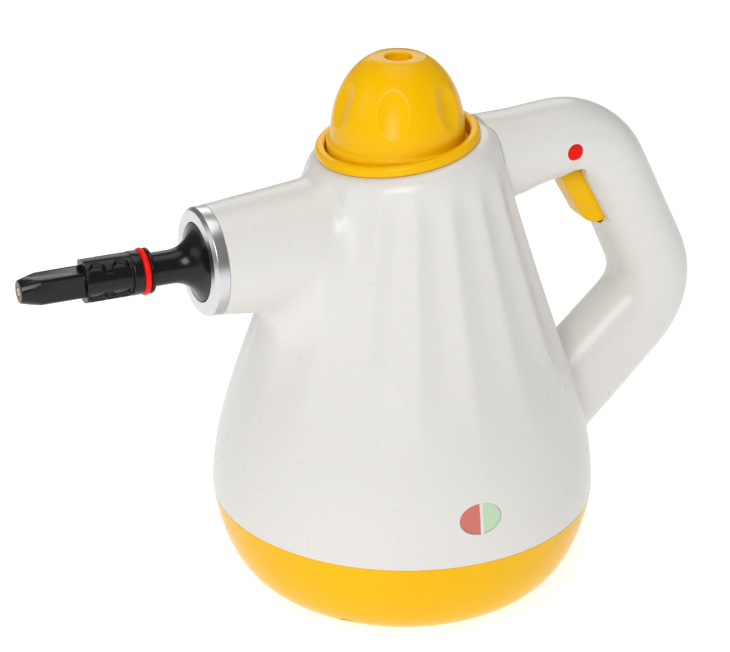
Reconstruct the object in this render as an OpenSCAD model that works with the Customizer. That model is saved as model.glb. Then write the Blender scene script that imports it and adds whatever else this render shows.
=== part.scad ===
// Hand-held steam cleaner with a screw-down safety cap, a jet nozzle and a closed loop handle.
// Millimetres. +Z is up, the spout points along -X, the handle is at +X.
// The origin is the centre of the foot's underside.

/* [Body] */
// Largest radius of the housing, at the seam between the body and the base
body_r = 75; // [72:0.5:78]
// Height of the seam between the body and the base bowl
seam_z = 38; // [36:0.5:40]
// Radius at which the body reaches its top
neck_r = 35.3; // [34.5:0.1:36.5]
// Height of the top of the body
top_z = 178; // [177:0.5:180]
// Wall of the body, base and handle
wall = 2.5; // [2:0.1:3]

/* [Base] */
// Height of the rubber foot ring below the base bowl
foot_h = 0.8; // [0.5:0.1:1.2]
// Outer radius of the foot ring
foot_r = 46; // [44:0.5:48]

/* [Spout and nozzle] */
// Height of the nozzle's axis
spout_z = 144.7; // [143:0.1:146]
// Radius of the spout at its front end
spout_r = 20.6; // [20:0.1:21.5]
// Distance of the spout's front end from the body axis
spout_len = 79; // [77:0.5:82]
// Width across the flats of the square nozzle tip
tip_flats = 9.7; // [8:0.1:9.9]
// Radius of the connector's front flange, which guides an accessory
spigot_r = 8.2; // [8.1:0.05:8.4]
// Distance of the nozzle's end from the body axis
nozzle_end = 152.3; // [150:0.1:156]

/* [Cap] */
// Offset of the cap's axis towards the spout
cap_x = -3.6; // [-5:0.1:-2]
// Height of the top of the cap
cap_top_z = 213.1; // [211:0.1:216]
// Radius of the bead at the foot of the cap
cap_bead_r = 26.65; // [26:0.05:27]
// Number of finger dimples round the cap
dimple_count = 6; // [3:1:8]
// Tilt of the trim ring round the cap, in degrees
ring_tilt = 8; // [6:0.5:9]

/* [Handle] */
// Height of the handle's top bar
bar_z = 172; // [170:0.1:173]
// Half width of the handle
handle_w = 15.5; // [14.5:0.1:16]
// Radius of both elbows, on the centreline
elbow_r = 24; // [22:0.5:26]
// Width of the trigger
trigger_w = 11; // [9:0.5:12]

/* [Boiler] */
// Outer radius of the boiler
boiler_r = 44; // [42:0.5:45]
// Wall of the boiler
boiler_wall = 3; // [2.5:0.1:3.5]
// Number of boiler flange bolts
bolt_count = 6; // [4:1:8]

/* [Hidden] */

$fn = 64;
white = [0.89, 0.89, 0.87];
yellow = [0.96, 0.76, 0.05];
red = [0.85, 0.1, 0.08];
black = [0.07, 0.07, 0.08];
steel = [0.72, 0.73, 0.75];
brass = [0.8, 0.65, 0.3];
alloy = [0.75, 0.76, 0.77];
rubber = [0.15, 0.15, 0.15];
e = 0.01;           // overlap that joins or cuts cleanly
fit = 0.05;         // gap between fixed pieces that fit in each other
run = 0.3;          // gap between pieces that move past each other

// Points of a cubic Bezier curve in n steps
function bezier(p, n) = [for (i = [0:n]) let (t = i / n, s = 1 - t)
    s * s * s * p[0] + 3 * s * s * t * p[1] + 3 * s * t * t * p[2] + t * t * t * p[3]];
// A curve moved sideways by d
function inset(points, d) = [for (p = points) [p[0] - d, p[1]]];

// Outlines of the housing: radius and height
body_curve = bezier([[body_r, seam_z], [body_r, seam_z + 33.4], [58.65, 98.8], [neck_r, top_z]], 16);
base_curve = bezier([[50, foot_h], [68.5, 3], [73.2, 27], [body_r, seam_z]], 12);
roof_z = 190;       // the body outline runs on to here before the top is cut off

// Planes and radii at the top of the body
ring_z = 180.95;    // centre of the trim ring
ring_h = 3.6;
ring_out = 31.1;
ring_in = 27.4;
well_r = 27.6;
well_floor = 162;
land_h = 3;         // thickness of the body's top under the ring

// Cap, from the neck upwards
neck_top = 177;
neck_out = 16.9;
neck_in = 14;
gasket_h = 1.4;
flange_z = neck_top + gasket_h;
flange_h = 3;
flange_r = 19.6;
dog_h = 3;
dogs = 6;
dog_angle = 24;
skirt_in = 20.2;
dome_curve = bezier([[25.2, 184], [25.2, 196], [19.5, 209], [10, cap_top_z]], 10);
dome_wall = 3.2;
dome_foot = 176.4;
thread_pitch = 3;
plug_r = neck_in - run;

// Boiler
boiler_z = 26;
boiler_split = 72;
boiler_dome = bezier([[boiler_r, 77], [boiler_r, 98], [36, 110], [21, 114]], 8);
flange_out = 54;
bolt_ring = 50;

// Trigger and valve, in the handle's middle plane
pivot = [73, 172];
link_z = 161;
bolt_at = [64.1, 170.6];
lock_r = 3.2;
screw_spots = [[96, 157], [112, 112], [92, 83], [53, 176]];

// Lamp window in the body's left side
lamp = [-2.4, 56];
lamp_size = [17, 12];
lamp_split = [-2.65, -1.35];

gland_z = 24;

// Foot ring's width, and the radii of the circles of standoffs and of clamp screws under the boiler
foot_w = 4.6;
standoff_ring = 37.5;
clamp_ring = 18;
standoff_angles = [90, 210, 330];

// ---------- helpers ----------

// Solid turned about the vertical axis from an outline of [radius, height]
module turned(points) rotate_extrude() polygon(points);

// Solid turned about the nozzle's axis from an outline of [radius, distance in front of the body axis]
module turned_x(points) translate([0, 0, spout_z]) rotate([0, -90, 0]) rotate_extrude() polygon(points);

// Cylinder along +X
module rod_x(x, y, z, length, r) translate([x, y, z]) rotate([0, 90, 0]) cylinder(h = length, r = r);

// Cylinder along +Y
module rod_y(x, y, z, length, r) translate([x, y, z]) rotate([-90, 0, 0]) cylinder(h = length, r = r);

// Closed skin through rings of points, with flat ends
module loft(rings) {
    sides = len(rings[0]);
    last = len(rings) - 1;
    polyhedron(
        points = [for (ring = rings) each ring],
        faces = concat(
            [[for (k = [0:sides - 1]) k]],
            [[for (k = [sides - 1:-1:0]) last * sides + k]],
            [for (i = [0:last - 1], k = [0:sides - 1])
                [i * sides + k, (i + 1) * sides + k, i * sides + (k + 1) % sides]],
            [for (i = [0:last - 1], k = [0:sides - 1])
                [i * sides + (k + 1) % sides, (i + 1) * sides + k, (i + 1) * sides + (k + 1) % sides]]
        )
    );
}

// Round wire wound about the vertical axis
module coil(r, wire, z0, z1, turns) {
    steps = turns * 12;
    loft([for (i = [0:steps]) [for (k = [0:5]) let (
        a = i * 30,
        across = r + wire * cos(k * 60),
        up = z0 + wire + (z1 - z0 - 2 * wire) * i / steps - wire * sin(k * 60)
    ) [across * cos(a), across * sin(a), up]]]);
}

// Pan-head screw pointing up, head underneath
module screw(length, r, head_r, head_h) {
    cylinder(h = head_h, r = head_r, $fn = 32);
    cylinder(h = length, r = r, $fn = 32);
}

// Everything below the tilted plane that lies dz under the trim ring's centre
module under_ring(dz) {
    translate([cap_x, 0, ring_z]) rotate([0, -ring_tilt, 0])
        translate([-150, -150, -300 - dz]) cube([300, 300, 300]);
}

// ---------- housing ----------

module body_outer() turned(concat([[0, seam_z]], body_curve, [[neck_r - 2, roof_z], [0, roof_z]]));

module body_inner() {
    intersection() {
        turned(concat([[0, seam_z - 1], [body_r - wall, seam_z - 1]], inset(body_curve, wall),
            [[neck_r - 2 - wall, roof_z], [0, roof_z]]));
        under_ring(ring_h / 2 + land_h);
    }
}

// Outline of the spout: it widens towards the body
spout_back = 12;
spout_grow = 0.103;
module spout_outer() {
    turned_x([[0, spout_back], [spout_r + spout_grow * (spout_len - spout_back), spout_back],
        [spout_r, spout_len], [0, spout_len]]);
}
module spout_inner() {
    turned_x([[0, spout_back + wall],
        [spout_r + spout_grow * (spout_len - spout_back) - wall, spout_back + wall],
        [spout_r - wall, spout_len - 8], [spout_r - wall, spout_len + 1], [0, spout_len + 1]]);
}

// Points of the lamp window's oval
function oval(grow) = [for (a = [0:15:345])
    [lamp[0] + (lamp_size[0] / 2 + grow) * cos(a), lamp[1] + (lamp_size[1] / 2 + grow) * sin(a)]];
module lamp_window(grow) {
    translate([0, -50, 0]) rotate([90, 0, 0]) linear_extrude(40) polygon(oval(grow));
}

boss_ring = 60;
boss_r = 4.5;
// How far the ribs of the screw bosses sink into the shell
rib_bite = 0.8;
screw_angles = [45, 135, 225, 315];

module body_shell() {
    color(white) difference() {
        union() {
            difference() {
                union() {
                    intersection() {
                        body_outer();
                        under_ring(ring_h / 2);
                    }
                    spout_outer();
                }
                body_inner();
                spout_inner();
            }
            for (a = screw_angles) rotate(a) {
                translate([boss_ring, 0, seam_z]) cylinder(h = 18, r = boss_r);
                translate([boss_ring, -1.5, seam_z]) cube([body_r - wall + rib_bite - boss_ring, 3, 12]);
            }
        }
        translate([cap_x, 0, 150]) cylinder(h = 60, r = well_r + 1.5 + fit);
        lamp_window(0);
        rod_x(30, 0, link_z, 20, valve_r + 1);
        for (a = screw_angles) rotate(a)
            translate([boss_ring, 0, seam_z - 1]) cylinder(h = 16, r = 1.6, $fn = 32);
    }
}

module base_bowl() {
    color(yellow) difference() {
        union() {
            difference() {
                turned(concat([[0, foot_h]], base_curve, [[0, seam_z]]));
                turned(concat([[0, foot_h + wall]], [[46, foot_h + wall]],
                    inset([for (p = base_curve) if (p[1] > 4) p], wall),
                    [[body_r - wall, seam_z + 1], [0, seam_z + 1]]));
            }
            for (a = screw_angles) rotate(a) translate([boss_ring, 0, 0]) intersection() {
                translate([0, 0, 2]) cylinder(h = seam_z - 2, r = boss_r);
                translate([-boss_ring, 0, 0]) rotate(-a)
                    turned(concat([[0, foot_h]], base_curve, [[0, seam_z]]));
            }
            translate([46, -9, 4]) cube([11, 18, 2]);
        }
        for (a = screw_angles) rotate(a) translate([boss_ring, 0, -1]) {
            cylinder(h = 30, r = 3.2);
            cylinder(h = 60, r = 1.9, $fn = 32);
        }
        for (a = standoff_angles) rotate(a) translate([standoff_ring, 0, -1]) {
            cylinder(h = 8, r = 1.9, $fn = 32);
            cylinder(h = 2.8, r = 4);
        }
        rod_x(50, 0, gland_z, 40, 6.5 + fit);
        translate([0, 0, -1]) difference() {
            cylinder(h = 1 + foot_h + 1, r = foot_r + fit);
            cylinder(h = 5, r = foot_r - foot_w - fit);
        }
    }
}

module foot_ring() {
    color(rubber) turned([[foot_r - foot_w, 0.4], [foot_r - foot_w + 0.4, 0], [foot_r - 0.4, 0],
        [foot_r, 0.4], [foot_r, foot_h + 1], [foot_r - foot_w, foot_h + 1]]);
}

module base_screws() {
    color(steel) for (a = screw_angles) rotate(a)
        translate([boss_ring, 0, 26.5]) screw(22, 1.5, 3, 2.5);
}

// ---------- handle ----------

// Directions of the grip and of the lower arm, and the corners of the centreline
grip_dir = [0.439, -0.898];
arm_dir = [-0.731, -0.683];
corner_top = [80.25, bar_z];
corner_rear = [113.6, 103.8];

// Centreline stations: [x, z, direction angle, half height]
function elbow(corner, a0, a1, h0, h1, steps) = let (
    turn = a1 - a0,
    reach = elbow_r * tan(abs(turn) / 2),
    start = corner - reach * [cos(a0), sin(a0)],
    centre = start + elbow_r * [sin(a0), -cos(a0)]
) [for (i = [0:steps]) let (a = a0 + turn * i / steps, s = i / steps)
    [centre[0] - elbow_r * sin(a), centre[1] + elbow_r * cos(a), a, h0 + (h1 - h0) * s]];

grip_a = atan2(grip_dir[1], grip_dir[0]);
arm_a = atan2(arm_dir[1], arm_dir[0]);
stations = concat(
    [[27, bar_z - 3.2, 0, 16.8], [44, bar_z - 3, 0, 16.3], [54, bar_z - 1.2, 0, 15.2]],
    elbow(corner_top, 0, grip_a, 14.75, 14.5, 6),
    elbow(corner_rear, grip_a, arm_a, 15.2, 17.4, 7),
    [[81, 72.6, arm_a, 18], [61, 53.9, arm_a, 18.3]]
);

// Ring of points round the centreline at one station, inset by d
function section(s, d) = [for (k = [0:19]) let (
    a = k * 18,
    c = cos(a),
    v = sin(a),
    y = (handle_w - d) * sign(c) * pow(abs(c), 0.88),
    q = (s[3] - d) * sign(v) * pow(abs(v), 0.88)
) [s[0] - q * sin(s[2]), y, s[1] + q * cos(s[2])]];

module handle_solid(d) loft([for (s = stations) section(s, d)]);

// Slot that the trigger hangs out of
module trigger_slot() {
    rotate([90, 0, 0]) linear_extrude(trigger_w + 2 * run, center = true)
        polygon([[60.2, 162], [62.9, 157], [73.6, 138.6], [78.6, 134.7], [88, 134.7], [94.5, 138.5],
            [86, 158], [76, 166]]);
    // Its sides open downwards, so the blade shows from the side as well
    rotate([90, 0, 0]) linear_extrude(40, center = true)
        polygon([[59.5, 154], [62.2, 158.8], [63.6, 160.6], [65.4, 161.9], [69.4, 162.2], [70.6, 161.4],
            [83.9, 137.7], [83.7, 136.4], [81, 134], [70, 134]]);
}

module handle_half(side) {
    difference() {
        intersection() {
            union() {
                difference() {
                    handle_solid(0);
                    handle_solid(wall);
                }
                intersection() {
                    handle_solid(0.5);
                    for (p = screw_spots) rod_y(p[0], -20, p[1], 40, 3.4);
                }
            }
            translate([0, side > 0 ? 0 : -40, 0]) cube([200, 40, 250]);
        }
        intersection() {
            body_outer();
            under_ring(ring_h / 2);
        }
        translate([cap_x, 0, 150]) cylinder(h = 60, r = ring_out + run);
        trigger_slot();
        rod_y(bolt_at[0], -30, bolt_at[1], 60, lock_r + run);
        rod_y(pivot[0], -12.6, pivot[1], 25.2, 2 + fit);
        for (p = screw_spots) {
            rod_y(p[0], -9, p[1], 30, 1.5);
            rod_y(p[0], 9, p[1], 20, 2.9);
        }
    }
    // Lugs that hold the trigger's pin
    intersection() {
        handle_solid(1);
        difference() {
            translate([0, side > 0 ? 0 : -40, 0]) cube([200, 40, 250]);
            translate([-50, -7, 0]) cube([300, 14, 300]);
            rod_y(pivot[0], -12.6, pivot[1], 25.2, 2 + fit);
            rod_y(bolt_at[0], -30, bolt_at[1], 60, lock_r + run);
        }
        rod_y(pivot[0], -20, pivot[1], 40, 4.2);
    }
}

module handle_left() color(white) handle_half(-1);
module handle_right() color(white) handle_half(1);

module handle_screws() {
    color(steel) for (p = screw_spots) {
        rod_y(p[0], -7, p[1], 16.5, 1.3);
        rod_y(p[0], 9.1, p[1], 2, 2.7);
    }
}

// ---------- top of the body ----------

module trim_ring() {
    color(yellow) translate([cap_x, 0, ring_z]) rotate([0, -ring_tilt, 0])
        turned([[ring_in, -ring_h / 2], [ring_out - 0.6, -ring_h / 2], [ring_out, -ring_h / 2 + 0.6],
            [ring_out, 0.4], [ring_out - 0.5, 1.3], [ring_out - 1.4, ring_h / 2],
            [ring_in + 0.8, ring_h / 2], [ring_in, 1]]);
}

module filler_well() {
    color(yellow) translate([cap_x, 0, 0]) intersection() {
        turned([[neck_out + fit, well_floor], [well_r + 1.5, well_floor], [well_r + 1.5, roof_z],
            [well_r, roof_z], [well_r, well_floor + 2], [neck_out + fit, well_floor + 1.5]]);
        translate([-cap_x, 0, 0]) under_ring(ring_h / 2 + fit);
    }
}

// ---------- cap ----------

// Ring of clutch teeth
module clutch_teeth(r0, r1, z, h, phase) {
    for (i = [0:dogs - 1]) rotate([0, 0, phase + i * 360 / dogs - dog_angle / 2])
        translate([0, 0, z]) rotate_extrude(angle = dog_angle) translate([r0, 0]) square([r1 - r0, h]);
}

// Hollow for one finger: a spindle laid along the dome's slope
dimple_half = 12;
dimple_r = 7;
module finger_dimple() {
    arc_r = (dimple_half * dimple_half + dimple_r * dimple_r) / (2 * dimple_r);
    half_angle = asin(dimple_half / arc_r);
    translate([27.2, 0, 197.5]) rotate([0, -17, 0])
        turned(concat([[0, -dimple_half]],
            [for (i = [1:7]) let (a = -half_angle + i * half_angle / 4)
                [arc_r * cos(a) - arc_r + dimple_r, arc_r * sin(a)]],
            [[0, dimple_half]]));
}

module cap_dome() {
    color(yellow) translate([cap_x, 0, 0]) difference() {
        union() {
            difference() {
                turned(concat([[0, dome_foot], [cap_bead_r - 0.8, dome_foot], [cap_bead_r, dome_foot + 0.8],
                    [cap_bead_r, 181], [25.6, 181.9]], dome_curve, [[0, cap_top_z]]));
                turned(concat([[0, dome_foot - 1], [25.2 - dome_wall, dome_foot - 1]],
                    inset(dome_curve, dome_wall), [[0, cap_top_z - dome_wall]]));
            }
            // Skirt that hangs into the well and carries the retainer
            turned([[skirt_in, 175.5], [skirt_in + 2, 175.5], [skirt_in + 2, 186], [skirt_in, 185.8]]);
            // Spring seat and sleeve round the plug's stem
            intersection() {
                turned([[8.3, 190], [10.2, 190], [10.2, 195], [17, 195], [17, 214], [0, 214], [0, 205],
                    [8.3, 205]]);
                turned(concat([[0, 170], [25, 170]], dome_curve, [[0, cap_top_z]]));
            }
            clutch_teeth(15.5, skirt_in + 1, 185.2, 4, 30);
        }
        translate([0, 0, cap_top_z - 6]) cylinder(h = 10, r = 4.9);
        for (i = [0:dimple_count - 1]) rotate(i * 360 / dimple_count) finger_dimple();
    }
}

module cap_retainer() {
    color(steel) translate([cap_x, 0, 0]) turned([[neck_out + 0.5, 176.1], [skirt_in - fit, 176.1],
        [skirt_in - fit, 178.1], [neck_out + 0.5, 178.1]]);
}

// Saw-tooth thread outline between two heights, from the top down
function thread_points(crest, root, z1, turns) = [for (i = [0:turns - 1]) let (z = z1 - i * thread_pitch)
    each [[crest, z], [crest, z - 0.6], [root, z - 1.6], [root, z - 2]]];

module cap_plug() {
    color(black) translate([cap_x, 0, 0]) {
        turned(concat([[1.5, 200], [8, 200], [8, flange_z + flange_h], [flange_r, flange_z + flange_h],
            [flange_r, flange_z], [plug_r, flange_z], [plug_r, 176.6], [12.2, 176.6], [12.2, 174.4],
            [plug_r, 174.4]], thread_points(plug_r, 12.4, 173.5, 4),
            [[12.4, 160], [4.3, 160], [4.3, 175], [1.5, 176]]));
        clutch_teeth(15.5, flange_r - 0.2, flange_z + flange_h - 1, dog_h + 1, 0);
    }
}

module cap_spring() {
    color(steel) translate([cap_x, 0, 0]) coil(12.6, 0.8, flange_z + flange_h + 0.1, 194.9, 5);
}

module cap_gasket() {
    color(rubber) translate([cap_x, 0, neck_top])
        turned([[14.2, 0], [neck_out - 0.2, 0], [neck_out - 0.2, gasket_h], [14.2, gasket_h]]);
}

module plug_oring() {
    color(red) translate([cap_x, 0, 175.5]) rotate_extrude() translate([13.1, 0]) circle(r = 0.78, $fn = 24);
}

module relief_seat() {
    color(brass) translate([cap_x, 0, 0])
        turned([[1.6, 159], [4.3 - fit, 159], [4.3 - fit, 162.5], [1.6, 162.5]]);
}

module relief_poppet() {
    color(steel) translate([cap_x, 0, 0])
        turned([[0, 162.7], [2.4, 162.7], [3, 163.4], [3, 165], [1.1, 165], [1.1, 170], [0, 170]]);
}

module relief_spring() color(steel) translate([cap_x, 0, 0]) coil(2.2, 0.35, 165.05, 174.9, 7);

// ---------- boiler ----------

module filler_neck() {
    color(brass) translate([cap_x, 0, 0]) turned(concat([[neck_in, 114], [neck_out, 114],
        [neck_out, neck_top], [neck_in, neck_top]], thread_points(neck_in, neck_in + 1, 173, 4),
        [[neck_in, 158]]));
}

module boiler_upper() {
    color(alloy) difference() {
        union() {
            turned(concat([[0, 73], [flange_out, 73], [flange_out, 77]], boiler_dome, [[0, 114]]));
            translate([cap_x, 0, 105]) cylinder(h = 19, r = 21);
            translate([29, 0, 100]) cylinder(h = 12, r = 5);
        }
        turned(concat([[0, 72], [boiler_r - boiler_wall, 72]],
            [for (p = boiler_dome) [p[0] - boiler_wall, p[1] - boiler_wall * 0.8]], [[0, 111.6]]));
        translate([cap_x, 0, 100]) cylinder(h = 14, r = neck_in);
        translate([cap_x, 0, 114]) cylinder(h = 20, r = neck_out + fit);
        translate([29, 0, 90]) cylinder(h = 30, r = 1.6, $fn = 32);
        translate([29, 0, 104]) cylinder(h = 20, r = 2.5 + fit, $fn = 32);
        for (i = [0:bolt_count - 1]) rotate(30 + i * 360 / bolt_count)
            translate([bolt_ring, 0, 60]) cylinder(h = 30, r = 2.2, $fn = 32);
    }
}

module boiler_lower() {
    color(alloy) difference() {
        turned([[0, boiler_z], [boiler_r - 3, boiler_z], [boiler_r, boiler_z + 3],
            [boiler_r, boiler_split - 4],
            [flange_out, boiler_split - 4], [flange_out, boiler_split],
            [boiler_r - boiler_wall, boiler_split], [boiler_r - boiler_wall, boiler_z + 6],
            [boiler_r - boiler_wall - 3, boiler_z + 4], [0, boiler_z + 4]]);
        for (i = [0:bolt_count - 1]) rotate(30 + i * 360 / bolt_count)
            translate([bolt_ring, 0, 60]) cylinder(h = 30, r = 2.2, $fn = 32);
        for (a = standoff_angles, r = [clamp_ring, standoff_ring]) rotate(a)
            translate([r, 0, boiler_z - 1]) cylinder(h = 3.5, r = 1.7, $fn = 32);
    }
}

module boiler_gasket() {
    color(red) turned([[boiler_r - boiler_wall, boiler_split], [46.5, boiler_split], [46.5, 73],
        [boiler_r - boiler_wall, 73]]);
}

module boiler_bolts() {
    color(steel) for (i = [0:bolt_count - 1]) rotate(30 + i * 360 / bolt_count) translate([bolt_ring, 0, 0]) {
        translate([0, 0, 64.5]) cylinder(h = 14, r = 2, $fn = 32);
        translate([0, 0, 77]) cylinder(h = 3, r = 3.6, $fn = 6);
        translate([0, 0, 64.8]) cylinder(h = 3.2, r = 3.6, $fn = 6);
    }
}

module boiler_standoffs() {
    color(white) for (a = standoff_angles) rotate(a) translate([standoff_ring, 0, 0]) difference() {
        translate([0, 0, foot_h + wall]) cylinder(h = boiler_z - foot_h - wall, r = 4);
        cylinder(h = 40, r = 1.7, $fn = 32);
    }
}

module standoff_screws() {
    color(steel) for (a = standoff_angles) rotate(a)
        translate([standoff_ring, 0, 0.6]) screw(27.4, 1.5, 3.5, 1.2 - e);
}

module insulation_jacket() {
    color([0.8, 0.78, 0.7]) turned([[boiler_r + 0.2, 31], [boiler_r + 5, 31], [boiler_r + 5, 50],
        [boiler_r + 0.2, 50]]);
}

module heating_element() {
    color(steel) {
        translate([0, 0, 22.7]) rotate([0, 0, 15]) rotate_extrude(angle = 330) translate([27, 0])
            circle(r = 3.25);
        for (s = [-1, 1]) translate([26.08, s * 6.99, 12]) cylinder(h = 10.7, r = 1.6, $fn = 32);
    }
}

module heater_clamp() {
    color(steel) difference() {
        turned([[13, 17.4], [33, 17.4], [33, 19.4], [13, 19.4]]);
        for (a = standoff_angles) rotate(a)
            translate([clamp_ring, 0, 10]) cylinder(h = 20, r = 1.7, $fn = 32);
        for (s = [-1, 1]) translate([26.08, s * 6.99, 10]) cylinder(h = 20, r = 2.5, $fn = 32);
    }
}

module heater_clamp_screws() {
    color(steel) for (a = standoff_angles) rotate(a)
        translate([clamp_ring, 0, 15.4]) screw(12.5, 1.5, 3, 2 - e);
}

module thermostat() {
    color([0.85, 0.8, 0.7]) {
        translate([0, 0, 20]) cylinder(h = 6 - e, r = 8.5);
        translate([-5.4, -1.5, 14]) cube([0.8, 3, 6.5]);
        translate([4.6, -1.5, 14]) cube([0.8, 3, 6.5]);
    }
}

module thermal_fuse() {
    color([0.9, 0.9, 0.85]) {
        rod_y(-46.6, -8, 58, 16, 2.3);
        rod_y(-46.6, -11, 58, 22, 0.5);
    }
}

// ---------- steam circuit ----------

// Radius of the steam valve's housing
valve_r = 5.6;
module valve_body() {
    color(brass) difference() {
        union() {
            rod_x(27, 0, link_z, 18, valve_r);
            translate([29, 0, 152]) cylinder(h = 6, r = 4);
            rod_y(33, 5, link_z, 4.6, 3.5);
        }
        rod_x(30, 0, link_z, 20, 4.1);
        translate([29, 0, 140]) cylinder(h = 20, r = 1.8, $fn = 32);
        rod_x(28, 0, link_z, 4, 1.8);
        rod_y(33, 0, link_z, 20, 1.6);
        rod_y(33, 8, link_z, 20, 2.5 + fit);
        translate([29, 0, 140]) cylinder(h = 14.3, r = 2.5 + fit, $fn = 32);
    }
}

module valve_gland() {
    color(brass) difference() {
        union() {
            rod_x(45, 0, link_z, 3, valve_r - 0.9);
            rod_x(43.5, 0, link_z, 2, 4.1 - fit);
        }
        rod_x(40, 0, link_z, 10, 1.5 + run);
    }
}

module valve_plunger() {
    color(red) difference() {
        union() {
            rod_x(30.3, 0, link_z, 2, 2.6);
            rod_x(32.3, 0, link_z, 4.5, 3.8);
        }
        rod_x(34, 0, link_z, 5, 1.5 + fit);
    }
}

module valve_spring() {
    color(steel) translate([0, 0, link_z]) rotate([0, 90, 0]) coil(2.8, 0.4, 36.9, 43.4, 4);
}

module link_rod() color(steel) rod_x(34, 0, link_z, 46.5, 1.5);

module link_nut() {
    color(brass) difference() {
        rod_x(76.5, 0, link_z, 3, 2.8);
        rod_x(70, 0, link_z, 20, 1.5 + fit);
    }
}

// Route of the outlet pipe: round the filler neck and down into the spout
steam_route = concat(
    bezier([[33, 8.1, link_z], [33, 30, link_z], [10, 25, 158], [-8, 24.5, 156]], 10),
    [for (i = [1:10]) bezier([[-8, 24.5, 156], [-26, 24, 154], [-30, 0, spout_z], [-50, 0, spout_z]], 10)[i]],
    [[-66, 0, spout_z]]
);

// Rings round a route that never runs straight up
function rings_along(route, r, sides) = let (last = len(route) - 1)
    [for (i = [0:last]) let (
        way = route[min(i + 1, last)] - route[max(i - 1, 0)],
        t = way / norm(way),
        across = cross(t, [0, 0, 1]) / norm(cross(t, [0, 0, 1])),
        up = cross(t, across)
    ) [for (k = [0:sides - 1]) let (a = k * 360 / sides) route[i] + r * (cos(a) * across + sin(a) * up)]];

module steam_pipe() {
    color(steel) difference() {
        loft(rings_along(steam_route, 2.5, 12));
        loft(rings_along(concat([steam_route[0] - [0, 1, 0]], steam_route, [[-70, 0, spout_z]]), 1.6, 12));
    }
}

module inlet_pipe() {
    color(steel) translate([29, 0, 0]) turned([[1.6, 104], [2.5, 104], [2.5, 154.2], [1.6, 154.2]]);
}

module pipe_nuts() {
    color(brass) {
        difference() {
            translate([29, 0, 148.5]) cylinder(h = 3.4, r = 5.2, $fn = 6);
            translate([29, 0, 140]) cylinder(h = 20, r = 2.5 + fit, $fn = 32);
        }
        difference() {
            rod_x(-64, 0, spout_z, 5, 5);
            rod_x(-70, 0, spout_z, 20, 2.5 + fit);
        }
    }
}

// ---------- nozzle ----------

// Trumpet: quarter-round flare from the ring's opening to the tube
flare_r = 14.6;
ring_front = spout_len + 5.7;
flare_curve = bezier([[flare_r, ring_front], [9.5, ring_front + 1.6], [6.3, 89.9], [6.3, 95.4]], 8);
bore_r = 2.3;

module nozzle_funnel() {
    color(black) turned_x(concat([[bore_r, 67], [10, 67], [10, 74], [spout_r - wall - fit, 74],
        [spout_r - wall - fit, spout_len - 0.1], [flare_r, spout_len - 0.1]], flare_curve,
        [[6.3, 103], [bore_r, 103]]));
}

module chrome_ring() {
    color(steel) turned_x([[flare_r + 0.2, spout_len], [spout_r - 0.2, spout_len],
        [spout_r - 0.2, ring_front - 1.3], [spout_r - 0.5, ring_front - 0.7], [spout_r - 1.3, ring_front],
        [flare_r + 0.5, ring_front], [flare_r + 0.2, ring_front - 0.3]]);
}

flange_edge = 111;
rail_end = 128.4;
rail_r = spigot_r - 0.6;

// One of the two raised rails of the bayonet, with two round bites and a square tooth between them
module bayonet_rail() {
    translate([0, 0, spout_z]) difference() {
        intersection() {
            rotate([0, -90, 0]) translate([0, 0, flange_edge - 0.5]) difference() {
                cylinder(h = rail_end - flange_edge, r = rail_r);
                cylinder(h = 40, r = 5.8);
            }
            translate([-200, -5.4, 0]) cube([200, 10.8, 20]);
        }
        for (x = [-115.2, -124.3], s = [-1, 1]) translate([x, s * 5.4, 3]) cylinder(h = 8, r = 2.2, $fn = 32);
    }
}

module bayonet_connector() {
    color(black) {
        turned_x([[bore_r, 103.1], [8.5, 103.1], [8.5, 104.4], [6.2, 104.4], [6.2, 107.2], [spigot_r, 107.2],
            [spigot_r, flange_edge], [6.3, flange_edge], [6.3, rail_end], [bore_r, rail_end]]);
        bayonet_rail();
        translate([0, 0, 2 * spout_z]) mirror([0, 0, 1]) bayonet_rail();
    }
}

module nozzle_oring() {
    color(red) translate([-105.8, 0, spout_z]) rotate([0, 90, 0]) rotate_extrude()
        translate([7.55, 0]) circle(r = 1.25, $fn = 32);
}

module nozzle_tip() {
    half = tip_flats / 2;
    color(black) difference() {
        intersection() {
            translate([-nozzle_end, -half, spout_z - half])
                cube([nozzle_end - rail_end, tip_flats, tip_flats]);
            turned_x([[0, rail_end], [6.05, rail_end], [6.2, 145], [4.2, nozzle_end], [0, nozzle_end]]);
        }
        turned_x([[0, rail_end - 1], [bore_r, rail_end - 1], [bore_r, 148], [1.6, 148], [1.6, 153],
            [0, 153]]);
    }
}

module orifice_insert() {
    color(brass) turned_x([[0.5, 148.2], [1.6 - fit, 148.2], [1.6 - fit, nozzle_end], [0.5, nozzle_end]]);
}

module steam_tube() {
    color(steel) turned_x([[1.6, 66.1], [bore_r - fit, 66.1], [bore_r - fit, 147.9], [1.6, 147.9]]);
}

// ---------- trigger and lock ----------

module trigger() {
    color(yellow) rotate([90, 0, 0]) difference() {
        linear_extrude(trigger_w, center = true) difference() {
            union() {
                translate(pivot) circle(r = 4.2);
                polygon([[69, 170.6], [62.2, 160], [63.5, 157.5], [74.5, 138.9], [76.5, 136.9],
                    [79.2, 135.9], [84, 135.8], [86.2, 136.8], [75.6, 157.9], [77.1, 171]]);
            }
            translate(pivot) circle(r = 2 + fit + 0.03);
        }
        translate([50, link_z - 3.1, -2.3]) cube([40, 6.2, 4.6]);
    }
}

module trigger_pin() color(steel) rod_y(pivot[0], -12.5, pivot[1], 25, 2);

// Torsion spring beside the trigger, round its pin
module trigger_spring() {
    color(steel) translate([pivot[0], 5.9, pivot[1]]) rotate([-90, 0, 0])
        turned([[2.4, 0], [3.3, 0], [3.3, 0.9], [2.4, 0.9]]);
}

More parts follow.
